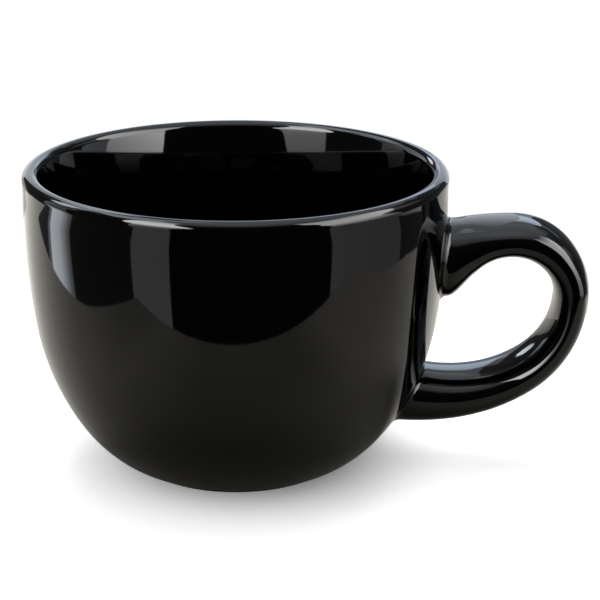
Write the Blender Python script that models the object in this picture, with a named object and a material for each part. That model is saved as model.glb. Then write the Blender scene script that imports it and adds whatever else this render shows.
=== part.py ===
"""A wide stoneware latte mug: a jiggered cup, a strap handle and the two collars of slip that lute it on.

Metres, +Z up, the mug standing on z = 0 with its handle towards +X. The cup is turned about its own
axis, and the whole mug is centred on the world origin.
"""

import math
from collections import namedtuple
from itertools import pairwise

import bmesh
import bpy
import numpy as np

# Cup outside
HEIGHT = 0.0906
RIM_RADIUS = 0.0625
LIP_OVERHANG = 0.0003
LIP_FILLET = 0.012
BELLY_HEIGHT = 0.078
WALL_ARC = 0.210
BOWL_TOP = 0.044
BOWL_PULL = 0.0169
HEEL_PULL = 0.0166
HEEL_SLOPE = math.radians(18)

# Cup inside
WALL = 0.0072
WAIST_HEIGHT = 0.0616
WAIST_PULL = 0.0290
FLARE_ARC = 0.110
FLOOR = 0.0062
FLOOR_RADIUS = 0.018
FLOOR_PULL = 0.0220

# Foot ring
FOOT_RADIUS = 0.0304
FOOT_HEIGHT = 0.0007
FOOT_WIDTH = 0.0048
FOOT_CHAMFER = 0.0003
FOOT_RECESS = 0.0015

# Handle
HANDLE_DROP = 0.0151
HANDLE_PROJECTION = 0.0423
LOOP_RADIUS = 0.0220
HOLE_RADIUS = 0.0135
BAR_THICKNESS = 0.0109
GRIP_THICKNESS = 0.0100
TAIL_THICKNESS = 0.0139
TAIL_BOTTOM = 0.0167
GRIP_WIDTH = 0.0250
STRAP_FULLNESS = 2.4
GUSSET_ANGLE = math.radians(43)
TAIL_END = math.radians(-56.5)
TOP_DIP = 0.0011

# Handle roots and the slip that holds them
ROOT_WIDTH = 0.0258
LOWER_ROOT_MIDDLE = 0.0211
LOWER_ROOT_HEIGHT = 0.0156
SLIP_DEPTH = 0.0018
SEAT_GAP = 0.0003

# Facets
TURN_STEPS = 72
WALL_STEPS = 4
BOWL_STEPS = 9
LIP_STEPS = 4
NECK_STEPS = 3
FLARE_STEPS = 6
OUTLINE_STEPS = 36
BAR_STEPS = 8
BEND_STEPS = 12
TAIL_STEPS = 10
ROOT_STEPS = 7
CAP_SHARES = (0.25, 0.5, 0.75)
COLLAR_STEPS = 5
SEAT_STEPS = 200
MERGE_DISTANCE = 0.000001
SHARP_ANGLE = math.radians(40)

# Finish
GLAZE_COLOUR = (0.011, 0.011, 0.012, 1.0)
GLAZE_ROUGHNESS = 0.06

# Derived sizes, with points given as distance from the cup's axis and height
BELLY_RADIUS = RIM_RADIUS - LIP_OVERHANG
WALL_CENTRE = np.array([BELLY_RADIUS - WALL_ARC, BELLY_HEIGHT])
WALL_END = math.asin((BOWL_TOP - BELLY_HEIGHT) / WALL_ARC)
WAIST_RADIUS = WALL_CENTRE[0] + math.sqrt(WALL_ARC**2 - (WAIST_HEIGHT - BELLY_HEIGHT) ** 2) - WALL
FLARE_CENTRE = np.array([WAIST_RADIUS + FLARE_ARC, WAIST_HEIGHT])
FLOOR_TOP = FOOT_RECESS + FLOOR
HANDLE_TOP = HEIGHT - HANDLE_DROP
HANDLE_REACH = BELLY_RADIUS + HANDLE_PROJECTION
AXIS_X = (RIM_RADIUS - HANDLE_REACH) / 2

Arc = namedtuple("Arc", "centre radius start end")
Root = namedtuple("Root", "middle half_height turn")


def polar(angle):
    return np.array([math.cos(angle), math.sin(angle)])


def heading(vector):
    return math.atan2(vector[1], vector[0])


def arc_points(arc, steps):
    """Points along an arc, both ends included."""
    return [arc.centre + arc.radius * polar(a) for a in np.linspace(arc.start, arc.end, steps + 1)]


def cubic(start, leave, arrive, end, steps):
    """Points along a curve that leaves its start and arrives at its end along these pulls."""
    way = np.linspace(0, 1, steps + 1)[:, None]
    back = 1 - way
    near_start = back**3 * start + 3 * back**2 * way * (start + leave)
    near_end = 3 * back * way**2 * (end - arrive) + way**3 * end
    return list(near_start + near_end)


def circles_meet(first, first_radius, second, second_radius):
    """The meeting point of two circles that lies to the right of the way from the first to the second."""
    way = second - first
    apart = np.linalg.norm(way)
    along = (first_radius**2 - second_radius**2 + apart**2) / (2 * apart)
    aside = math.sqrt(first_radius**2 - along**2)
    forward = way / apart
    return first + along * forward + aside * np.array([forward[1], -forward[0]])


def outer_bowl(steps):
    """The cup's outside below the wall, down to the foot ring."""
    start = WALL_CENTRE + WALL_ARC * polar(WALL_END)
    leave = BOWL_PULL * polar(WALL_END - math.pi / 2)
    arrive = HEEL_PULL * polar(math.pi + HEEL_SLOPE)
    return cubic(start, leave, arrive, np.array([FOOT_RADIUS, FOOT_HEIGHT]), steps)


def inner_bowl(steps):
    """The cup's inside from the flat of the floor up to its waist, where the wall stands upright."""
    leave = np.array([FLOOR_PULL, 0.0])
    arrive = np.array([0.0, WAIST_PULL])
    waist = np.array([WAIST_RADIUS, WAIST_HEIGHT])
    return cubic(np.array([FLOOR_RADIUS, FLOOR_TOP]), leave, arrive, waist, steps)


def lip_arc():
    """The round lip, which touches the rim radius, the top and the flare inside, and its fillet's centre."""
    across, above = np.array([RIM_RADIUS, HEIGHT]) - FLARE_CENTRE
    short = across + above - FLARE_ARC
    radius = short + math.sqrt(short**2 - across**2 - above**2 + FLARE_ARC**2)
    centre = np.array([RIM_RADIUS - radius, HEIGHT - radius])
    fillet = circles_meet(WALL_CENTRE, WALL_ARC + LIP_FILLET, centre, radius + LIP_FILLET)
    return Arc(centre, radius, heading(centre - FLARE_CENTRE), heading(fillet - centre)), fillet


def neck_arc(lip, fillet):
    """The hollow under the lip, which runs out into the wall."""
    start = heading(lip.centre - fillet)
    end = heading(WALL_CENTRE - fillet)
    turn = (end - start + math.pi) % math.tau - math.pi
    return Arc(fillet, LIP_FILLET, start, start + turn)


def cup_profile():
    """The turned profile: up the inside from the middle of the floor, over the lip and down to the foot."""
    lip, fillet = lip_arc()
    flare = Arc(FLARE_CENTRE, FLARE_ARC, math.pi, lip.start)
    outer_wall = Arc(WALL_CENTRE, WALL_ARC, heading(fillet - WALL_CENTRE), WALL_END)
    profile = [(0.0, FLOOR_TOP)] + inner_bowl(BOWL_STEPS)
    profile += arc_points(flare, FLARE_STEPS)[1:]
    for start, end in pairwise((lip.start, math.pi / 2, 0.0, lip.end)):
        profile += arc_points(lip._replace(start=start, end=end), LIP_STEPS)[1:]
    profile += arc_points(neck_arc(lip, fillet), NECK_STEPS)[1:]
    profile += arc_points(outer_wall, WALL_STEPS)[1:]
    profile += outer_bowl(BOWL_STEPS)[1:]
    foot_inside = FOOT_RADIUS - FOOT_WIDTH
    profile += [
        (FOOT_RADIUS, FOOT_CHAMFER),
        (FOOT_RADIUS - FOOT_CHAMFER, 0.0),
        (foot_inside + FOOT_CHAMFER, 0.0),
        (foot_inside, FOOT_CHAMFER),
        (foot_inside, FOOT_RECESS),
        (0.0, FOOT_RECESS),
    ]
    return profile


def wall_line():
    """A fine line down the cup's outside from the rim's height to the foot, with its outward normals."""
    wall_start = math.asin((HEIGHT - BELLY_HEIGHT) / WALL_ARC)
    wall = arc_points(Arc(WALL_CENTRE, WALL_ARC, wall_start, WALL_END), SEAT_STEPS)
    line = np.array(wall + outer_bowl(SEAT_STEPS)[1:])
    along = np.gradient(line, axis=0)
    along /= np.linalg.norm(along, axis=1, keepdims=True)
    return line, np.stack([-along[:, 1], along[:, 0]], axis=1)


WALL_LINE, WALL_NORMALS = wall_line()


def wall_radius(height, offset):
    """The cup's radius at this height, with its outside moved out along its normal by offset."""
    moved = WALL_LINE + offset * WALL_NORMALS
    radii, heights = moved[::-1].T
    return np.interp(height, heights, radii)


def strap_outline(half_thickness, half_width):
    """A full oval, as offsets across the strap's thickness and width."""
    turns = np.linspace(0, math.tau, OUTLINE_STEPS, endpoint=False)
    sides = np.column_stack([np.cos(turns), np.sin(turns)])
    oval = np.sign(sides) * abs(sides) ** (2 / STRAP_FULLNESS)
    return oval * [half_thickness, half_width]


def strap_section(outer, inner, half_width):
    """A section of the strap between a point of its outer and a point of its inner outline."""
    middle = (outer + inner) / 2
    half = (outer - inner) / 2
    half_thickness = np.linalg.norm(half)
    ring = []
    for across, along in strap_outline(half_thickness, half_width):
        point = middle + half * across / half_thickness
        ring.append((point[0], along, point[1]))
    return np.array(ring)


def on_wall(along, height, offset):
    """The point at this height that lies offset clear of the cup's wall, on the handle's side."""
    radius = wall_radius(height, offset)
    return (math.sqrt(radius**2 - along**2), along, height)


def root_ring(root, offset, share=1.0, spread=0.0):
    """A root's outline laid round the wall, shrunk to a share of itself or spread outwards."""
    ring = []
    for across, along in strap_outline(root.half_height + spread, ROOT_WIDTH / 2 + spread):
        height = root.middle + share * root.turn * across
        ring.append(on_wall(share * along, height, offset))
    return np.array(ring)


def root_cap(root, offset, spread=0.0):
    """The face that a root turns to the wall, as rings from its middle point outwards."""
    middle = np.array([on_wall(0.0, root.middle, offset)])
    return [middle] + [root_ring(root, offset, share, spread) for share in CAP_SHARES]


def loop_arcs(top, reach, radius, bottom):
    """A line round the ear: a quarter turn at the top, then a wider bend that heads for level below."""
    centre = np.array([reach, top]) - radius
    tail_radius = centre[1] - bottom
    tail_centre = np.array([reach - tail_radius, centre[1]])
    return Arc(centre, radius, math.pi / 2, 0.0), Arc(tail_centre, tail_radius, 0.0, TAIL_END)


OUTER_LOOP, OUTER_TAIL = loop_arcs(HANDLE_TOP, HANDLE_REACH, LOOP_RADIUS, TAIL_BOTTOM)
HOLE_LOOP, HOLE_TAIL = loop_arcs(
    HANDLE_TOP - BAR_THICKNESS,
    HANDLE_REACH - GRIP_THICKNESS,
    HOLE_RADIUS,
    TAIL_BOTTOM + TAIL_THICKNESS,
)


def underside(reach):
    """Height of the top bar's underside: round the hole, then straight down the gusset."""
    touch = HOLE_LOOP.centre + HOLE_RADIUS * polar(math.pi / 2 + GUSSET_ANGLE)
    if reach < touch[0]:
        return touch[1] + math.tan(GUSSET_ANGLE) * (reach - touch[0])
    return HOLE_LOOP.centre[1] + math.sqrt(HOLE_RADIUS**2 - (reach - HOLE_LOOP.centre[0]) ** 2)


def handle_roots():
    """The upper root, whose outer side faces up, and the lower one, whose outer side faces down."""
    top = HANDLE_TOP - TOP_DIP
    bottom = underside(wall_radius(HOLE_LOOP.centre[1], SLIP_DEPTH))
    upper = Root((top + bottom) / 2, (top - bottom) / 2, 1)
    lower = Root(LOWER_ROOT_MIDDLE, LOWER_ROOT_HEIGHT / 2, -1)
    return upper, lower


def handle_bar(upper):
    """Sections from the upper root along the gusset and the top bar, which lean over into the bend."""
    start = wall_radius(upper.middle, SLIP_DEPTH)
    widening = (ROOT_WIDTH - GRIP_WIDTH) / 2
    sections = []
    for way in np.linspace(0, 1, BAR_STEPS + 1)[1:]:
        left = (1 - way) ** 2
        outer_reach = start + way * (OUTER_LOOP.centre[0] - start)
        inner_reach = start + way * (HOLE_LOOP.centre[0] - start)
        outer = np.array([outer_reach, HANDLE_TOP - TOP_DIP * left])
        inner = np.array([inner_reach, underside(inner_reach)])
        sections.append(strap_section(outer, inner, GRIP_WIDTH / 2 + widening * left))
    return sections


def handle_bend(outer_arc, inner_arc, steps):
    """Sections round a bend of the strap, the first left out."""
    pairs = zip(arc_points(outer_arc, steps), arc_points(inner_arc, steps))
    return [strap_section(outer, inner, GRIP_WIDTH / 2) for outer, inner in pairs][1:]


def handle_flare(last, lower):
    """Rings from the last bend on to the lower root, leaving the bend straight and flaring at the wall."""
    seat = root_ring(lower, SLIP_DEPTH)
    straight = np.array([math.sin(TAIL_END), 0.0, -math.cos(TAIL_END)])
    run = abs(seat[:, :1] - last[:, :1])
    miss = seat - (last + straight * run)
    ways = np.linspace(0, 1, ROOT_STEPS + 1)[1:]
    return [last + straight * run * way + miss * way**2 for way in ways]


def handle_rings():
    """The whole strap, from the middle of its upper face on the wall to the middle of its lower one."""
    upper, lower = handle_roots()
    rings = root_cap(upper, SLIP_DEPTH) + [root_ring(upper, SLIP_DEPTH)]
    rings += handle_bar(upper)
    rings += handle_bend(OUTER_LOOP, HOLE_LOOP, BEND_STEPS)
    rings += handle_bend(OUTER_TAIL, HOLE_TAIL, TAIL_STEPS)
    rings += handle_flare(rings[-1], lower)
    return rings + root_cap(lower, SLIP_DEPTH)[::-1]


def spread_at(offset):
    """How far the slip's hollow fillet stands out from the strap, this far off the wall."""
    return SLIP_DEPTH - math.sqrt(SLIP_DEPTH**2 - (SLIP_DEPTH - offset) ** 2)


def collar_rings(root):
    """A collar of slip: it seats on the wall, hollows in to the strap's outline and meets its end."""
    seat, end = SEAT_GAP, SLIP_DEPTH - SEAT_GAP
    rings = root_cap(root, seat, spread_at(seat))
    for offset in np.linspace(seat, end, COLLAR_STEPS + 1):
        rings.append(root_ring(root, offset, spread=spread_at(offset)))
    return rings + root_cap(root, end, spread_at(end))[::-1]


def skin(rings):
    """A closed mesh over rings of points, whose first and last are single points."""
    mesh = bmesh.new()
    loops = [[mesh.verts.new(point) for point in ring] for ring in rings]
    for first, second in pairwise(loops):
        count = max(len(first), len(second))
        for step in range(count):
            after = (step + 1) % count
            face = [first[step % len(first)], first[after % len(first)]]
            face += [second[after % len(second)], second[step % len(second)]]
            mesh.faces.new(dict.fromkeys(face))
    bmesh.ops.recalc_face_normals(mesh, faces=mesh.faces)
    return mesh


def turned(profile):
    """A closed mesh made by spinning a profile that starts and ends on the axis."""
    mesh = bmesh.new()
    points = [mesh.verts.new((radius, 0.0, height)) for radius, height in profile]
    edges = [mesh.edges.new(pair) for pair in pairwise(points)]
    bmesh.ops.spin(
        mesh,
        geom=points + edges,
        cent=(0, 0, 0),
        axis=(0, 0, 1),
        angle=math.tau,
        steps=TURN_STEPS,
        use_merge=True,
    )
    bmesh.ops.remove_doubles(mesh, verts=mesh.verts, dist=MERGE_DISTANCE)
    bmesh.ops.recalc_face_normals(mesh, faces=mesh.faces)
    return mesh


def glaze(name):
    material = bpy.data.materials.new(name)
    material.use_nodes = True
    shader = material.node_tree.nodes["Principled BSDF"]
    shader.inputs["Base Color"].default_value = GLAZE_COLOUR
    shader.inputs["Roughness"].default_value = GLAZE_ROUGHNESS
    shader.inputs["Metallic"].default_value = 0.0
    return material


def add_piece(name, shape, parent):
    mesh = bpy.data.meshes.new(name)
    shape.to_mesh(mesh)
    shape.free()
    mesh.shade_smooth()
    mesh.set_sharp_from_angle(angle=SHARP_ANGLE)
    mesh.materials.append(glaze(name + "_glaze"))
    piece = bpy.data.objects.new(name, mesh)
    piece.parent = parent
    bpy.context.scene.collection.objects.link(piece)


def main():
    for old in list(bpy.data.objects):
        bpy.data.objects.remove(old)
    axis = bpy.data.objects.new("cup_axis", None)
    axis.location.x = AXIS_X
    bpy.context.scene.collection.objects.link(axis)
    upper, lower = handle_roots()
    add_piece("cup_body", turned(cup_profile()), axis)
    add_piece("handle", skin(handle_rings()), axis)
    add_piece("upper_slip_joint", skin(collar_rings(upper)), axis)
    add_piece("lower_slip_joint", skin(collar_rings(lower)), axis)


main()
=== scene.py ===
"""Looks of a wide stoneware latte mug: its glazed cup, handle and slip joints, in a white studio.

Metres, +Z up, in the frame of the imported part: the mug stands on z = 0 with its handle towards +X.
Points of the cup's outline are given as distance from the cup's axis and height.
"""

import math
from collections import namedtuple
from itertools import pairwise

import bpy
import numpy as np
from mathutils import Matrix, Vector


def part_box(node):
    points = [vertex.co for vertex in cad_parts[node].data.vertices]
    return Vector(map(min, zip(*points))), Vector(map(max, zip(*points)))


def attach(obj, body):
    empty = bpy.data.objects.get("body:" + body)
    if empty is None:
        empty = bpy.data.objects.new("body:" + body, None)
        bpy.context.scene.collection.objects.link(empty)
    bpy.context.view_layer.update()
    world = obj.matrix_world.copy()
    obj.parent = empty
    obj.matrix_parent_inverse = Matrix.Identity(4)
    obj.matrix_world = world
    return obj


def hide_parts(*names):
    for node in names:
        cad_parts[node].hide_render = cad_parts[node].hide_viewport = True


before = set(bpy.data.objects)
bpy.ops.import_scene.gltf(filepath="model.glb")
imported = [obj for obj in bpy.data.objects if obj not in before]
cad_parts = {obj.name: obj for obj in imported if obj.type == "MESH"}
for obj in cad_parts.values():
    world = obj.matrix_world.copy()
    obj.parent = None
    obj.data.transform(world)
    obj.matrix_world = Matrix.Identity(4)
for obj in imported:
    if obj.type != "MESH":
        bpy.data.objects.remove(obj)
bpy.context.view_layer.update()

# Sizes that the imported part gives
CUP_LOW, CUP_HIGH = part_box("cup_body")
HANDLE_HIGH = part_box("handle")[1]
HEIGHT = CUP_HIGH.z
AXIS_X = (CUP_LOW.x + CUP_HIGH.x) / 2
RIM_RADIUS = (CUP_HIGH.x - CUP_LOW.x) / 2
HANDLE_TOP = HANDLE_HIGH.z
HANDLE_REACH = HANDLE_HIGH.x - AXIS_X

# Cup outside
LIP_OVERHANG = 0.0003
LIP_SETBACK = 0.0002
LIP_FILLET = 0.045
BELLY_HEIGHT = 0.078
WALL_ARC = 0.210
BOWL_TOP = 0.044
BOWL_PULL = 0.0169
HEEL_PULL = 0.0166
HEEL_SLOPE = math.radians(18)

# Cup inside
WALL = 0.0072
WAIST_HEIGHT = 0.0616
WAIST_PULL = 0.0290
FLARE_ARC = 0.122
FLOOR_TOP = 0.0077
FLOOR_RADIUS = 0.018
FLOOR_PULL = 0.0220

# Foot ring
FOOT_RADIUS = 0.0304
FOOT_HEIGHT = 0.0007
FOOT_WIDTH = 0.0048
FOOT_ROUND = 0.0005
FOOT_RECESS = 0.0015
BARE_HEIGHT = 0.0004

# Handle
LOOP_RADIUS = 0.0220
HOLE_RADIUS = 0.0135
BAR_THICKNESS = 0.0109
GRIP_THICKNESS = 0.0100
TAIL_THICKNESS = 0.0139
TAIL_BOTTOM = 0.0167
GRIP_WIDTH = 0.0250
STRAP_FULLNESS = 2.4
GUSSET_ANGLE = math.radians(43)
TAIL_END = math.radians(-56.5)
TOP_DIP = 0.0011

# Handle roots and the slip that holds them
ROOT_WIDTH = 0.0258
LOWER_ROOT_MIDDLE = 0.0211
LOWER_ROOT_HEIGHT = 0.0156
SLIP_DEPTH = 0.0018
SLIP_SINK = 0.0001
ROOT_RUN = 0.0065

# Fineness of the surfaces
TURN_STEPS = 288
WALL_STEPS = 24
BOWL_STEPS = 40
LIP_STEPS = 18
NECK_STEPS = 10
FLARE_STEPS = 40
FOOT_STEPS = 6
OUTLINE_STEPS = 96
BAR_STEPS = 24
BEND_STEPS = 60
TAIL_STEPS = 30
ROOT_STEPS = 16
SLIP_STEPS = 20
CAP_SHARES = (0.25, 0.5, 0.75)
SEAT_STEPS = 400
SHARP_ANGLE = math.radians(40)

# Derived sizes
BELLY_RADIUS = RIM_RADIUS - LIP_OVERHANG
LIP_REACH = RIM_RADIUS - LIP_SETBACK
WALL_CENTRE = np.array([BELLY_RADIUS - WALL_ARC, BELLY_HEIGHT])
WALL_END = math.asin((BOWL_TOP - BELLY_HEIGHT) / WALL_ARC)
WAIST_RADIUS = WALL_CENTRE[0] + math.sqrt(WALL_ARC**2 - (WAIST_HEIGHT - BELLY_HEIGHT) ** 2) - WALL
FLARE_CENTRE = np.array([WAIST_RADIUS + FLARE_ARC, WAIST_HEIGHT])

# Camera
CAMERA_DISTANCE = 0.600
CAMERA_TARGET = Vector((AXIS_X + 0.01887, 0.0, 0.04947))
CAMERA_ELEVATION = math.radians(17.93)
CAMERA_ROLL = math.radians(0.27)
CAMERA_LENS = 120.49
CAMERA_SENSOR = 36.0

# Glaze, and the bare clay under the foot
GLAZE_DARK = (0.0009, 0.0009, 0.0011)
GLAZE_LIGHT = (0.0020, 0.0018, 0.0016)
GLAZE_CLOUD_SCALE = 90.0
GLAZE_CLOUD_DETAIL = 4.0
GLAZE_SMOOTHEST = 0.03
GLAZE_ROUGHEST = 0.06
GLAZE_IOR = 1.36
CLAY_DARK = (0.30, 0.25, 0.19)
CLAY_LIGHT = (0.48, 0.42, 0.34)
CLAY_ROUGHNESS = 0.85
GROG_SCALE = 1800.0
GROG_DETAIL = 6.0
GROG_STRENGTH = 0.4
GROG_DEPTH = 0.0001

# Table: corners and distances to the side are measured from the cup's axis
TABLE_CORNERS = (
    (-0.158, -0.155), (0.24, -0.155), (0.25, -0.06), (0.28, 0.02), (0.28, 0.125),
    (0.125, 0.125), (0.125, 0.26), (-0.349, 0.26), (-0.183, -0.05),
)
TABLE_ALBEDO = 0.86
# The camera alone sees a glow that lifts the table to white; it fades out round a point beside the mug,
# leaving the lamp's real shadow and a painted shadow there.
SHADOW_MIDDLE = (AXIS_X + 0.0045, 0.0015, 0.0)
SHADOW_CORE = 0.012
SHADOW_END = 0.065
TABLE_LIFT = 0.80

# What only the glaze's reflections see of the table: painted shade and light along its front,
# and a painted glow on its back. Each level is a distance to the side and a level.
FRONT_START = -0.05
FRONT_END = -0.11
FRONT_PAINTED_SHADE = (
    (-0.19, 0.76), (-0.125, 0.78), (-0.09, 1.0), (-0.03, 0.68), (0.075, 0.66), (0.12, 1.1), (0.19, 1.12),
)
# Painted light on the back of the table, dimmed behind the mug, which only reflections see
BACK_START = -0.02
BACK_END = 0.20
BACK_PAINTED_GLOW = 0.85
BACK_PAINTED_GLOW_LEVELS = ((-0.12, 0.86), (-0.06, 0.215), (0.09, 0.215), (0.12, 0.774), (0.165, 0.774), (0.19, 1.0))

# Lamp over the table, and what the world lights and shows
LAMP_PLACE = Vector((0.0, 0.25, 0.85))
LAMP_SIZE = 0.7
LAMP_POWER = 6.2
WORLD_LIGHT = 0.25
WORLD_WHITE = 1.0

# Tints of light
NEUTRAL = (1.0, 1.0, 1.0)
COOL = (0.90, 0.97, 1.05)
BLUE = (0.80, 0.94, 1.16)
WARM = (1.04, 1.0, 0.92)

# Cards that the glaze reflects: parts of spheres about a point on the cup's axis
CARD_MIDDLE = 0.045
CARD_STEPS = 24
RIGHT_PANEL_DISTANCE = 0.105
LEFT_PANEL_DISTANCE = 0.2
SOFTBOX_DISTANCE = 10.0
FLAG_DISTANCE = 11.0
BACKDROP_DISTANCE = 12.0

# A row of a card is an elevation, a first and a last azimuth, in degrees, and a strength.
# Azimuths are counted from the camera's side towards the handle.
# At the last azimuth the strength is fade times what it is at the first.
Card = namedtuple("Card", "name distance colour fade rows")

SOFTBOXES = (
    Card("left_softbox", SOFTBOX_DISTANCE, NEUTRAL, 1.0, (
        (-40, -55, -34, 1.12), (-13, -55, -33.5, 1.12), (-8, -55, -33, 1.4), (3, -56, -31, 2.3),
        (10, -57, -28, 3.5), (15, -57, -24, 5.5), (19, -58, -22, 12.0), (24, -60, -21, 16.0),
        (34, -66, -28, 20.0), (46, -71, -37, 18.0), (56, -78, -44, 15.0), (63, -84, -49, 10.0),
        (70, -90, -55, 4.0),
    )),
    Card("right_softbox", SOFTBOX_DISTANCE, NEUTRAL, 1.0, (
        (12, 46, 85, 9.5), (15, 46, 84, 10.0), (20, 47.5, 88, 11.0), (30, 46, 102, 11.0),
        (40, 42, 112, 11.0), (48, 43, 117, 10.0), (54, 44, 115, 6.0), (60, 46, 112, 3.0),
    )),
    Card("right_glow", SOFTBOX_DISTANCE, NEUTRAL, 0.5, (
        (-40, 53, 99, 0.9), (-13.2, 53, 99, 0.93), (-11.5, 52.5, 98, 3.6), (-8, 52, 97, 4.4),
        (0, 50, 92, 6.4), (8, 47, 87, 10.5), (12, 46, 85, 13.0),
    )),
)
WINDOWS_AND_LAMPS = (
    Card("left_window", SOFTBOX_DISTANCE, COOL, 1.0, (
        (-40, -114.5, -106, 4.4), (-18, -114.5, -106, 4.8),
        (-13, -114.5, -106, 4.5), (-9, -114.5, -106, 1.0),
    )),
    Card("window_side", SOFTBOX_DISTANCE, COOL, 0.22, (
        (-40, -106, -98, 4.4), (-18, -106, -98, 4.8), (-13, -106, -98, 4.5), (-9, -106, -99, 1.0),
    )),
    Card("window_edge", SOFTBOX_DISTANCE, NEUTRAL, 0.7, (
        (-40, -98, -90, 0.9), (-18, -98, -90, 0.95), (-13, -98, -91, 0.9), (-10, -98, -94, 0.3),
    )),
    Card("back_lamp", SOFTBOX_DISTANCE, COOL, 1.0, (
        (26, -124, -100, 2.5), (30, -129, -100, 7.0), (37, -130, -112, 9.0), (44, -134, -122, 6.0),
    )),
    Card("back_spark", SOFTBOX_DISTANCE, COOL, 1.0, (
        (8, -160, -157, 0.3), (10, -161, -155.5, 3.0), (14, -163.5, -154.5, 4.0),
        (17, -164, -156, 5.0), (20, -162.5, -157.5, 5.5), (22, -161.5, -158.5, 0.3),
    )),
)
NEAR_PANELS = (
    Card("left_panel", LEFT_PANEL_DISTANCE, COOL, 1.0, (
        (9, -165, -138, 1.6), (30, -165, -134, 1.4), (42, -160, -128, 1.6),
        (47, -156, -124, 3.2), (55, -152, -118, 4.0), (60, -150, -115, 2.0),
    )),
    Card("right_panel", RIGHT_PANEL_DISTANCE, COOL, 1.0, (
        (18, 120, 135, 1.3), (24, 112, 135, 1.3), (40, 108, 135, 1.3),
    )),
)
DARK_FLAGS = (
    Card("front_flag", FLAG_DISTANCE, NEUTRAL, 1.0, (
        (-70, -36, 56, 0.02), (-10, -36, 56, 0.012), (8, -36, 56, 0.03), (46, -45, 50, 0.06),
        (52, -50, 52, 0.45), (58, -55, 60, 1.1), (70, -70, 80, 1.4), (80, -90, 90, 1.9),
    )),
    Card("left_flag", FLAG_DISTANCE, NEUTRAL, 1.0, (
        (-50, -95, -55, 0.08), (30, -98, -55, 0.08), (46, -116, -58, 0.10), (55, -130, -80, 0.15),
    )),
    Card("right_flag", FLAG_DISTANCE, NEUTRAL, 1.0, (
        (-40, 98, 116, 0.08), (4, 86, 122, 0.10), (16, 94, 124, 0.15), (30, 100, 120, 1.2),
    )),
    Card("left_back_flag", FLAG_DISTANCE, NEUTRAL, 1.0, (
        (-20, -169, -117, 0.15), (0, -169, -117, 0.07), (24, -169, -117, 0.09), (36, -169, -117, 0.3),
    )),
    Card("back_flag", SOFTBOX_DISTANCE, NEUTRAL, 1.0, (
        (24, 185, 216, 0.1), (38, 186, 216, 0.12), (46, 190, 214, 0.3), (54, 192, 212, 0.6),
    )),
)
ROOM = (
    Card("left_room", SOFTBOX_DISTANCE, NEUTRAL, 1.0, (
        (-6, -112, -98, 0.5), (8, -112, -98, 1.1), (24, -112, -100, 0.75), (40, -112, -104, 0.3),
    )),
    Card("left_low", SOFTBOX_DISTANCE, WARM, 1.0, (
        (-24, -175, -140, 0.9), (-9, -175, -142, 0.75), (-5, -172, -143, 0.7),
        (0, -168, -145, 0.6), (2, -166, -147, 0.06),
    )),
    Card("right_low", SOFTBOX_DISTANCE, WARM, 1.0, ((-24, 140, 168, 0.85), (-8, 140, 168, 0.8))),
    Card("back_low", FLAG_DISTANCE, BLUE, 1.0, (
        (-14, 168, 191, 0.6), (8, 168, 191, 0.5), (11, 167, 190, 0.9), (14, 163, 188, 2.2),
        (20, 159, 186, 2.3), (23, 158, 184, 2.3), (25, 159, 181, 2.2), (28, 161, 180, 0.6),
    )),
    Card("back_wall", BACKDROP_DISTANCE, COOL, 1.0, (
        (16, 145, 196, 0.45), (30, 145, 196, 0.6), (38, 140, 200, 0.95), (52, 120, 240, 1.2),
    )),
    Card("right_back", BACKDROP_DISTANCE, COOL, 1.0, (
        (-20, 116, 168, 0.12), (12, 116, 168, 0.10), (18, 116, 165, 0.13), (34, 116, 158, 0.15),
        (40, 116, 148, 0.25), (46, 116, 138, 0.6), (52, 116, 130, 0.9),
    )),
    Card("left_back", FLAG_DISTANCE, COOL, 2.4, (
        (36, 190, 250, 1.2), (46, 190, 262, 2.2), (58, 190, 268, 2.6), (70, 190, 270, 2.4),
    )),
    Card("ceiling", BACKDROP_DISTANCE, COOL, 1.0, (
        (52, 90, 270, 1.25), (60, 90, 270, 1.35), (70, 0, 360, 1.7), (90, 0, 360, 2.3),
    )),
)

Arc = namedtuple("Arc", "centre radius start end")
Root = namedtuple("Root", "middle half_height turn")


def polar(angle):
    """The unit vector at this angle."""
    return np.array([math.cos(angle), math.sin(angle)])


def heading(vector):
    """The angle of a vector."""
    return math.atan2(vector[1], vector[0])


def arc_points(arc, steps):
    """Points along an arc, both ends included."""
    return [arc.centre + arc.radius * polar(a) for a in np.linspace(arc.start, arc.end, steps + 1)]


def cubic(start, leave, arrive, end, steps):
    """Points along a curve that leaves its start and arrives at its end along these pulls."""
    ways = np.linspace(0, 1, steps + 1)
    points = []
    for way in ways:
        back = 1 - way
        near_start = back**3 * start + 3 * back**2 * way * (start + leave)
        near_end = 3 * back * way**2 * (end - arrive) + way**3 * end
        points.append(near_start + near_end)
    return points


def circles_meet(first, first_radius, second, second_radius):
    """The meeting point of two circles that lies to the right of the way from the first to the second."""
    way = second - first
    apart = np.linalg.norm(way)
    along = (first_radius**2 - second_radius**2 + apart**2) / (2 * apart)
    aside = math.sqrt(first_radius**2 - along**2)
    forward = way / apart
    return first + along * forward + aside * np.array([forward[1], -forward[0]])


def outer_bowl(steps):
    """The cup's outside below the wall, down to the foot ring."""
    start = WALL_CENTRE + WALL_ARC * polar(WALL_END)
    leave = BOWL_PULL * polar(WALL_END - math.pi / 2)
    arrive = HEEL_PULL * polar(math.pi + HEEL_SLOPE)
    return cubic(start, leave, arrive, np.array([FOOT_RADIUS, FOOT_HEIGHT]), steps)


def inner_bowl(steps):
    """The cup's inside from the flat of the floor up to its waist, where the wall stands upright."""
    leave = np.array([FLOOR_PULL, 0.0])
    arrive = np.array([0.0, WAIST_PULL])
    waist = np.array([WAIST_RADIUS, WAIST_HEIGHT])
    return cubic(np.array([FLOOR_RADIUS, FLOOR_TOP]), leave, arrive, waist, steps)


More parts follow.
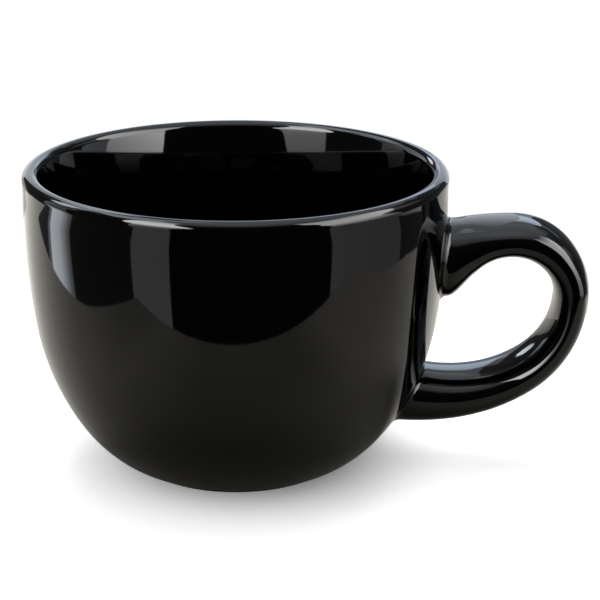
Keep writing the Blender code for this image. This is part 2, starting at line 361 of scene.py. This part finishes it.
def lip_arc():
    """The round lip, which touches its reach, the top and the flare inside, and its fillet's centre."""
    across, above = np.array([LIP_REACH, HEIGHT]) - FLARE_CENTRE
    short = across + above - FLARE_ARC
    radius = short + math.sqrt(short**2 - across**2 - above**2 + FLARE_ARC**2)
    centre = np.array([LIP_REACH - radius, HEIGHT - radius])
    fillet = circles_meet(WALL_CENTRE, WALL_ARC + LIP_FILLET, centre, radius + LIP_FILLET)
    return Arc(centre, radius, heading(centre - FLARE_CENTRE), heading(fillet - centre)), fillet


def neck_arc(lip, fillet):
    """The hollow under the lip, which runs out into the wall."""
    start = heading(lip.centre - fillet)
    end = heading(WALL_CENTRE - fillet)
    turn = (end - start + math.pi) % math.tau - math.pi
    return Arc(fillet, LIP_FILLET, start, start + turn)


def foot_profile():
    """The foot ring with its rounded edges, and the recess inside it, from the heel to the axis."""
    inside = FOOT_RADIUS - FOOT_WIDTH
    outer_centre = np.array([FOOT_RADIUS - FOOT_ROUND, FOOT_ROUND])
    inner_centre = np.array([inside + FOOT_ROUND, FOOT_ROUND])
    recess_centre = np.array([inside - FOOT_ROUND, FOOT_RECESS - FOOT_ROUND])
    points = arc_points(Arc(outer_centre, FOOT_ROUND, 0.0, -math.pi / 2), FOOT_STEPS)
    points += arc_points(Arc(inner_centre, FOOT_ROUND, -math.pi / 2, -math.pi), FOOT_STEPS)
    points += arc_points(Arc(recess_centre, FOOT_ROUND, 0.0, math.pi / 2), FOOT_STEPS)
    return points + [np.array([0.0, FOOT_RECESS])]


def cup_profile():
    """The turned profile: up the inside from the middle of the floor, over the lip and down to the foot."""
    lip, fillet = lip_arc()
    flare = Arc(FLARE_CENTRE, FLARE_ARC, math.pi, lip.start)
    outer_wall = Arc(WALL_CENTRE, WALL_ARC, heading(fillet - WALL_CENTRE), WALL_END)
    profile = [np.array([0.0, FLOOR_TOP])] + inner_bowl(BOWL_STEPS)
    profile += arc_points(flare, FLARE_STEPS)[1:]
    for start, end in pairwise((lip.start, math.pi / 2, 0.0, lip.end)):
        profile += arc_points(lip._replace(start=start, end=end), LIP_STEPS)[1:]
    profile += arc_points(neck_arc(lip, fillet), NECK_STEPS)[1:]
    profile += arc_points(outer_wall, WALL_STEPS)[1:]
    profile += outer_bowl(BOWL_STEPS)[1:]
    return profile + foot_profile()


def wall_line():
    """A fine line down the cup's outside from the rim's height to the foot, with its outward normals."""
    wall_start = math.asin((HEIGHT - BELLY_HEIGHT) / WALL_ARC)
    wall = arc_points(Arc(WALL_CENTRE, WALL_ARC, wall_start, WALL_END), SEAT_STEPS)
    line = np.array(wall + outer_bowl(SEAT_STEPS)[1:])
    along = np.gradient(line, axis=0)
    along /= np.linalg.norm(along, axis=1, keepdims=True)
    return line, np.stack([-along[:, 1], along[:, 0]], axis=1)


WALL_LINE, WALL_NORMALS = wall_line()


def wall_radius(height, offset):
    """The cup's radius at this height, with its outside moved out along its normal by offset."""
    moved = WALL_LINE + offset * WALL_NORMALS
    radii, heights = moved[::-1].T
    return np.interp(height, heights, radii)


def wall_normals(ring):
    """The wall's outward normals beside the points of a ring."""
    heights = WALL_LINE[::-1, 1]
    out = np.interp(ring[:, 2], heights, WALL_NORMALS[::-1, 0])
    up = np.interp(ring[:, 2], heights, WALL_NORMALS[::-1, 1])
    flat = ring[:, :2] / np.linalg.norm(ring[:, :2], axis=1, keepdims=True)
    return np.column_stack([flat * out[:, None], up])


def strap_outline(half_thickness, half_width):
    """A full oval, as offsets across the strap's thickness and width."""
    turns = np.linspace(0, math.tau, OUTLINE_STEPS, endpoint=False)
    sides = np.column_stack([np.cos(turns), np.sin(turns)])
    oval = np.sign(sides) * abs(sides) ** (2 / STRAP_FULLNESS)
    return oval * [half_thickness, half_width]


def strap_section(outer, inner, half_width):
    """A section of the strap between a point of its outer and a point of its inner outline."""
    middle = (outer + inner) / 2
    half = (outer - inner) / 2
    half_thickness = np.linalg.norm(half)
    outline = strap_outline(half_thickness, half_width)
    points = middle + np.outer(outline[:, 0] / half_thickness, half)
    return np.column_stack([points[:, 0], outline[:, 1], points[:, 1]])


def root_ring(root, offset, share=1.0, spread=0.0):
    """A root's outline laid round the wall, shrunk to a share of itself or spread outwards."""
    outline = strap_outline(root.half_height + spread, ROOT_WIDTH / 2 + spread)
    heights = root.middle + share * root.turn * outline[:, 0]
    along = share * outline[:, 1]
    radii = wall_radius(heights, offset)
    return np.column_stack([np.sqrt(radii**2 - along**2), along, heights])


def root_cap(root, offset, spread=0.0):
    """The hidden face that a root turns to the wall, as rings from its middle point outwards."""
    middle = np.array([[wall_radius(root.middle, offset), 0.0, root.middle]])
    return [middle] + [root_ring(root, offset, share, spread) for share in CAP_SHARES]


def loop_arcs(top, reach, radius, bottom):
    """A line round the ear: a quarter turn at the top, then a wider bend that heads for level below."""
    centre = np.array([reach, top]) - radius
    tail_radius = centre[1] - bottom
    tail_centre = np.array([reach - tail_radius, centre[1]])
    return Arc(centre, radius, math.pi / 2, 0.0), Arc(tail_centre, tail_radius, 0.0, TAIL_END)


OUTER_LOOP, OUTER_TAIL = loop_arcs(HANDLE_TOP, HANDLE_REACH, LOOP_RADIUS, TAIL_BOTTOM)
HOLE_LOOP, HOLE_TAIL = loop_arcs(
    HANDLE_TOP - BAR_THICKNESS,
    HANDLE_REACH - GRIP_THICKNESS,
    HOLE_RADIUS,
    TAIL_BOTTOM + TAIL_THICKNESS,
)


def underside(reach):
    """Height of the top bar's underside: round the hole, then straight down the gusset."""
    touch = HOLE_LOOP.centre + HOLE_RADIUS * polar(math.pi / 2 + GUSSET_ANGLE)
    if reach < touch[0]:
        return touch[1] + math.tan(GUSSET_ANGLE) * (reach - touch[0])
    return HOLE_LOOP.centre[1] + math.sqrt(HOLE_RADIUS**2 - (reach - HOLE_LOOP.centre[0]) ** 2)


def handle_roots():
    """The upper root, whose outer side faces up, and the lower one, whose outer side faces down."""
    top = HANDLE_TOP - TOP_DIP
    bottom = underside(wall_radius(HOLE_LOOP.centre[1], SLIP_DEPTH))
    upper = Root((top + bottom) / 2, (top - bottom) / 2, 1)
    lower = Root(LOWER_ROOT_MIDDLE, LOWER_ROOT_HEIGHT / 2, -1)
    return upper, lower


def bar_section(start, way):
    """The section this share of the way along the top bar, upright at its root and leaning into the bend."""
    left = (1 - way) ** 2
    outer_reach = start + way * (OUTER_LOOP.centre[0] - start)
    inner_reach = start + way * (HOLE_LOOP.centre[0] - start)
    outer = np.array([outer_reach, HANDLE_TOP - TOP_DIP * left])
    inner = np.array([inner_reach, underside(inner_reach)])
    return strap_section(outer, inner, (GRIP_WIDTH + (ROOT_WIDTH - GRIP_WIDTH) * left) / 2)


def root_rings(ring, section, way, pull):
    """Rings from a ring on the wall, which leave it squarely, to a section that they reach along its way."""
    leave = pull * wall_normals(ring)
    return cubic(ring, leave, pull * way, section, ROOT_STEPS)


def handle_bar(upper):
    """Rings from the upper root along the gusset and the top bar."""
    start = wall_radius(upper.middle, SLIP_DEPTH)
    first = ROOT_RUN / (OUTER_LOOP.centre[0] - start)
    sections = [bar_section(start, way) for way in np.linspace(first, 1, BAR_STEPS + 1)]
    way = sections[1] - sections[0]
    way /= np.linalg.norm(way, axis=1, keepdims=True)
    return root_rings(root_ring(upper, SLIP_DEPTH), sections[0], way, ROOT_RUN / 3) + sections[1:]


def handle_bend(outer_arc, inner_arc, steps):
    """Sections round a bend of the strap, the first left out."""
    pairs = zip(arc_points(outer_arc, steps), arc_points(inner_arc, steps))
    return [strap_section(outer, inner, GRIP_WIDTH / 2) for outer, inner in pairs][1:]


def handle_flare(last, lower):
    """Rings from the last bend on to the lower root, leaving the bend straight and flaring at the wall."""
    seat = root_ring(lower, SLIP_DEPTH)
    straight = np.array([math.sin(TAIL_END), 0.0, -math.cos(TAIL_END)])
    run = abs(seat[:, :1] - last[:, :1])
    miss = seat - (last + straight * run)
    ways = np.linspace(0, 1, ROOT_STEPS + 1)[1:]
    return [last + straight * run * way + miss * way**2 for way in ways]


def handle_rings():
    """The whole strap, from the middle of its upper face on the wall to the middle of its lower one."""
    upper, lower = handle_roots()
    rings = root_cap(upper, SLIP_DEPTH) + handle_bar(upper)
    rings += handle_bend(OUTER_LOOP, HOLE_LOOP, BEND_STEPS)
    rings += handle_bend(OUTER_TAIL, HOLE_TAIL, TAIL_STEPS)
    rings += handle_flare(rings[-1], lower)
    return rings + root_cap(lower, SLIP_DEPTH)[::-1]


def slip_rings(root):
    """A collar of slip: from just inside the wall it hollows in to the strap's outline."""
    rings = []
    for angle in np.linspace(math.pi / 2, 0, SLIP_STEPS + 1):
        offset = SLIP_DEPTH * (1 - math.sin(angle))
        spread = SLIP_DEPTH * (1 - math.cos(angle))
        rings.append(root_ring(root, offset, spread=spread))
    sunk = root_ring(root, -SLIP_SINK, spread=SLIP_DEPTH)
    caps = root_cap(root, -SLIP_SINK, SLIP_DEPTH) + [sunk]
    return caps + rings + root_cap(root, SLIP_DEPTH)[::-1]


def turned_rings(profile):
    """Rings of points about the cup's axis, one for each point of a profile that starts and ends on it."""
    angles = np.linspace(0, math.tau, TURN_STEPS, endpoint=False)
    circle = np.column_stack([np.cos(angles), np.sin(angles), np.zeros(TURN_STEPS)])
    rings = [np.array([[0.0, 0.0, profile[0][1]]])]
    for radius, height in profile[1:-1]:
        rings.append(radius * circle + [0.0, 0.0, height])
    return rings + [np.array([[0.0, 0.0, profile[-1][1]]])]


def skin(name, rings):
    """A closed mesh over rings of points, whose first and last are single points."""
    starts = np.cumsum([0] + [len(ring) for ring in rings])
    faces = []
    for (first, second), (at, after) in zip(pairwise(rings), pairwise(starts)):
        count = max(len(first), len(second))
        for step in range(count):
            following = (step + 1) % count
            face = [at + step % len(first), after + step % len(second)]
            face += [after + following % len(second), at + following % len(first)]
            faces.append(list(dict.fromkeys(face)))
    mesh = bpy.data.meshes.new(name)
    mesh.from_pydata(np.concatenate(rings).tolist(), [], faces)
    mesh.update()
    return mesh


def add_piece(name, mesh, node, materials):
    """A finished piece that stands for a node of the part, on the cup's axis."""
    mesh.shade_smooth()
    mesh.set_sharp_from_angle(angle=SHARP_ANGLE)
    for material in materials:
        mesh.materials.append(material)
    piece = bpy.data.objects.new(name, mesh)
    piece.location.x = AXIS_X
    bpy.context.scene.collection.objects.link(piece)
    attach(piece, "root")
    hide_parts(node)
    return piece


def new_material(name):
    """A new material, whose node tree holds a principled shader and the output."""
    material = bpy.data.materials.new(name)
    material.use_nodes = True
    return material


def noise(tree, scale, detail):
    """Noise over a piece, of this scale and detail."""
    place = tree.nodes.new("ShaderNodeTexCoord")
    cloud = tree.nodes.new("ShaderNodeTexNoise")
    cloud.inputs["Scale"].default_value = scale
    cloud.inputs["Detail"].default_value = detail
    tree.links.new(place.outputs["Object"], cloud.inputs["Vector"])
    return cloud.outputs["Fac"]


def mixed(tree, share, first, second):
    """A mix of two colours by a linked share; each colour is a value or a linked output."""
    mix = tree.nodes.new("ShaderNodeMix")
    mix.data_type = "RGBA"
    tree.links.new(share, mix.inputs["Factor"])
    for socket, colour in (("A", first), ("B", second)):
        if isinstance(colour, bpy.types.NodeSocket):
            tree.links.new(colour, mix.inputs[socket])
        else:
            mix.inputs[socket].default_value = (*colour, 1.0)
    return mix.outputs["Result"]


def ranged(tree, value, start, end, low, high, way="LINEAR"):
    """A linked value, taken from the range start to end over to low to high, and held at both ends."""
    node = tree.nodes.new("ShaderNodeMapRange")
    node.interpolation_type = way
    node.inputs["From Min"].default_value = start
    node.inputs["From Max"].default_value = end
    node.inputs["To Min"].default_value = low
    node.inputs["To Max"].default_value = high
    tree.links.new(value, node.inputs["Value"])
    return node.outputs["Result"]


def combined(tree, operation, *values):
    """Linked values combined by an operation of the maths node."""
    node = tree.nodes.new("ShaderNodeMath")
    node.operation = operation
    for value, socket in zip(values, node.inputs):
        tree.links.new(value, socket)
    return node.outputs["Value"]


def black_glaze():
    """Gloss black glaze: nearly black, a little uneven in colour and gloss."""
    material = new_material("black_glaze_gloss")
    tree = material.node_tree
    shader = tree.nodes["Principled BSDF"]
    cloud = noise(tree, GLAZE_CLOUD_SCALE, GLAZE_CLOUD_DETAIL)
    tint = mixed(tree, cloud, GLAZE_DARK, GLAZE_LIGHT)
    gloss = ranged(tree, cloud, 0.0, 1.0, GLAZE_SMOOTHEST, GLAZE_ROUGHEST)
    tree.links.new(tint, shader.inputs["Base Color"])
    tree.links.new(gloss, shader.inputs["Roughness"])
    shader.inputs["IOR"].default_value = GLAZE_IOR
    return material


def bare_clay():
    """The unglazed foot: dark buff stoneware with fine grog."""
    material = new_material("bare_stoneware")
    tree = material.node_tree
    shader = tree.nodes["Principled BSDF"]
    grog = noise(tree, GROG_SCALE, GROG_DETAIL)
    tint = mixed(tree, grog, CLAY_DARK, CLAY_LIGHT)
    tree.links.new(tint, shader.inputs["Base Color"])
    bump = tree.nodes.new("ShaderNodeBump")
    bump.inputs["Strength"].default_value = GROG_STRENGTH
    bump.inputs["Distance"].default_value = GROG_DEPTH
    tree.links.new(grog, bump.inputs["Height"])
    tree.links.new(bump.outputs["Normal"], shader.inputs["Normal"])
    shader.inputs["Roughness"].default_value = CLAY_ROUGHNESS
    return material


def add_mug():
    """The four pieces of the mug, glazed but for the ring that they stand on."""
    glaze = black_glaze()
    upper, lower = handle_roots()
    cup = skin("glazed_cup", turned_rings(cup_profile()))
    add_piece("glazed_cup", cup, "cup_body", [glaze, bare_clay()])
    for face in cup.polygons:
        face.material_index = int(face.center.z < BARE_HEIGHT)
    add_piece("strap_handle", skin("strap_handle", handle_rings()), "handle", [glaze])
    add_piece("upper_slip", skin("upper_slip", slip_rings(upper)), "upper_slip_joint", [glaze])
    add_piece("lower_slip", skin("lower_slip", slip_rings(lower)), "lower_slip_joint", [glaze])


def add_stage(name, points, faces, material):
    """A mesh of the studio, which isn't part of the mug."""
    mesh = bpy.data.meshes.new(name)
    mesh.from_pydata(points, [], faces)
    mesh.materials.append(material)
    piece = bpy.data.objects.new(name, mesh)
    bpy.context.scene.collection.objects.link(piece)
    return piece


def painted_levels_across(tree, side, shades, colour):
    """Painted light and shade: levels of a colour over the table from left to right."""
    first = shades[0][0]
    last = shades[-1][0]
    ramp = tree.nodes.new("ShaderNodeValToRGB")
    way = ranged(tree, side, AXIS_X + first, AXIS_X + last, 0.0, 1.0)
    tree.links.new(way, ramp.inputs["Fac"])
    stops = ramp.color_ramp.elements
    for place, _ in shades[1:-1]:
        stops.new((place - first) / (last - first))
    for stop, (_, level) in zip(stops, shades):
        stop.color = [level * part for part in colour] + [1.0]
    return ramp.outputs["Color"]


def table_colour_and_painted_shade(tree, split, glossy):
    """Plain white for the camera; in reflections, painted warm light and painted shade and light along the
    table's front.
    """
    warm = [TABLE_ALBEDO * part for part in WARM]
    plain = [TABLE_ALBEDO * part for part in NEUTRAL]
    front = ranged(tree, split.outputs["Y"], FRONT_START, FRONT_END, 0.0, 1.0)
    shades = painted_levels_across(tree, split.outputs["X"], FRONT_PAINTED_SHADE, warm)
    return mixed(tree, glossy, plain, mixed(tree, front, warm, shades))


def camera_lift(tree, place):
    """Glow that only the camera sees, lifting the table to white; it fades out round a point beside the mug,
    so a painted shadow adds to the lamp's real one there.
    """
    apart = tree.nodes.new("ShaderNodeVectorMath")
    apart.operation = "DISTANCE"
    apart.inputs[1].default_value = SHADOW_MIDDLE
    tree.links.new(place, apart.inputs[0])
    return ranged(tree, apart.outputs["Value"], SHADOW_CORE, SHADOW_END, 0.0, TABLE_LIFT, "SMOOTHSTEP")


def painted_back_glow(tree, split):
    """Painted light: a glow on the back of the table that only the glaze's reflections see, dimmed behind
    the mug as painted shade.
    """
    back = ranged(tree, split.outputs["Y"], BACK_START, BACK_END, 0.0, BACK_PAINTED_GLOW)
    shades = painted_levels_across(tree, split.outputs["X"], BACK_PAINTED_GLOW_LEVELS, NEUTRAL)
    return combined(tree, "MULTIPLY", back, shades)


def white_table():
    """Matt white table with painted light and shade: a glow that only the camera sees, and shade, warmth and
    a glow that only the glaze's reflections see.
    """
    material = new_material("white_table")
    tree = material.node_tree
    shader = tree.nodes["Principled BSDF"]
    shader.inputs["Roughness"].default_value = 1.0
    shader.inputs["Specular IOR Level"].default_value = 0.0
    place = tree.nodes.new("ShaderNodeTexCoord").outputs["Object"]
    split = tree.nodes.new("ShaderNodeSeparateXYZ")
    tree.links.new(place, split.inputs["Vector"])
    path = tree.nodes.new("ShaderNodeLightPath")
    glossy = path.outputs["Is Glossy Ray"]
    seen = combined(tree, "MULTIPLY", camera_lift(tree, place), path.outputs["Is Camera Ray"])
    # Painted glow for reflections, added to the camera's glow
    glow = combined(tree, "MULTIPLY_ADD", painted_back_glow(tree, split), glossy, seen)
    tree.links.new(table_colour_and_painted_shade(tree, split, glossy), shader.inputs["Base Color"])
    # Painted warm light: the table's glow is warm in reflections
    tree.links.new(mixed(tree, glossy, NEUTRAL, WARM), shader.inputs["Emission Color"])
    tree.links.new(glow, shader.inputs["Emission Strength"])
    return material


def add_table():
    corners = [(AXIS_X + x, y, 0.0) for x, y in TABLE_CORNERS]
    add_stage("table", corners, [tuple(range(len(corners)))], white_table())


def card_light():
    """The light of the cards, as bright as each point of a card says."""
    material = new_material("card_light")
    tree = material.node_tree
    tree.nodes.remove(tree.nodes["Principled BSDF"])
    level = tree.nodes.new("ShaderNodeAttribute")
    level.attribute_name = "light"
    light = tree.nodes.new("ShaderNodeEmission")
    tree.links.new(level.outputs["Color"], light.inputs["Color"])
    tree.links.new(light.outputs["Emission"], tree.nodes["Material Output"].inputs["Surface"])
    return material


def card_points(card):
    """The points of a card, row by row."""
    points = []
    for elevation, start, end, _ in card.rows:
        out, up = card.distance * polar(math.radians(elevation))
        for azimuth in np.radians(np.linspace(start, end, CARD_STEPS + 1)):
            points.append((AXIS_X + out * math.sin(azimuth), -out * math.cos(azimuth), CARD_MIDDLE + up))
    return points


def card_faces(card):
    """Squares between the rows of a card."""
    row = CARD_STEPS + 1
    corners = [level * row + step for level in range(len(card.rows) - 1) for step in range(CARD_STEPS)]
    return [(n, n + 1, n + 1 + row, n + row) for n in corners]


def card_levels(card):
    """The colour of the light at each point of a card."""
    strengths = [strength for *_, strength in card.rows]
    levels = np.outer(strengths, np.linspace(1, card.fade, CARD_STEPS + 1)).ravel()
    return np.column_stack([np.outer(levels, card.colour), np.ones(len(levels))])


def reflected_only(piece):
    """Keeps a card out of everything but the reflections in the glaze."""
    piece.visible_camera = False
    piece.visible_diffuse = False
    piece.visible_transmission = False
    piece.visible_volume_scatter = False
    piece.visible_shadow = False


def add_cards():
    material = card_light()
    for card in SOFTBOXES + WINDOWS_AND_LAMPS + NEAR_PANELS + DARK_FLAGS + ROOM:
        piece = add_stage(card.name, card_points(card), card_faces(card), material)
        light = piece.data.color_attributes.new("light", "FLOAT_COLOR", "POINT")
        light.data.foreach_set("color", card_levels(card).ravel())
        reflected_only(piece)


def add_lamp():
    """A soft square lamp that lights the table and the clay; the glaze shows the cards instead."""
    light = bpy.data.lights.new("overhead_softbox", "AREA")
    light.size = LAMP_SIZE
    light.energy = LAMP_POWER
    lamp = bpy.data.objects.new("overhead_softbox", light)
    lamp.location = LAMP_PLACE
    lamp.rotation_euler = (-LAMP_PLACE).to_track_quat("-Z", "Y").to_euler()
    lamp.visible_glossy = False
    bpy.context.scene.collection.objects.link(lamp)


def add_world():
    """White for the camera and in reflections, dim for the light that it adds."""
    world = bpy.data.worlds.new("studio")
    bpy.context.scene.world = world
    world.use_nodes = True
    tree = world.node_tree
    path = tree.nodes.new("ShaderNodeLightPath")
    seen = combined(tree, "MAXIMUM", path.outputs["Is Camera Ray"], path.outputs["Is Glossy Ray"])
    level = ranged(tree, seen, 0.0, 1.0, WORLD_LIGHT, WORLD_WHITE)
    background = tree.nodes["Background"]
    background.inputs["Color"].default_value = (*NEUTRAL, 1.0)
    tree.links.new(level, background.inputs["Strength"])


def add_camera():
    """A long lens that looks down on the mug from its side, with a slight roll."""
    forward_tilt = Vector((0.0, math.sin(CAMERA_ELEVATION), math.cos(CAMERA_ELEVATION)))
    back = Vector((0.0, -math.cos(CAMERA_ELEVATION), math.sin(CAMERA_ELEVATION)))
    side = Vector((1.0, 0.0, 0.0))
    right = math.cos(CAMERA_ROLL) * side + math.sin(CAMERA_ROLL) * forward_tilt
    up = math.cos(CAMERA_ROLL) * forward_tilt - math.sin(CAMERA_ROLL) * side
    lens = bpy.data.cameras.new("camera")
    lens.lens = CAMERA_LENS
    lens.sensor_width = CAMERA_SENSOR
    camera = bpy.data.objects.new("camera", lens)
    turn = Matrix((right, up, back)).transposed().to_4x4()
    camera.matrix_world = Matrix.Translation(CAMERA_TARGET + CAMERA_DISTANCE * back) @ turn
    bpy.context.scene.collection.objects.link(camera)
    bpy.context.scene.camera = camera


bpy.context.scene.view_settings.view_transform = "Standard"
add_mug()
add_table()
add_cards()
add_lamp()
add_world()
add_camera()
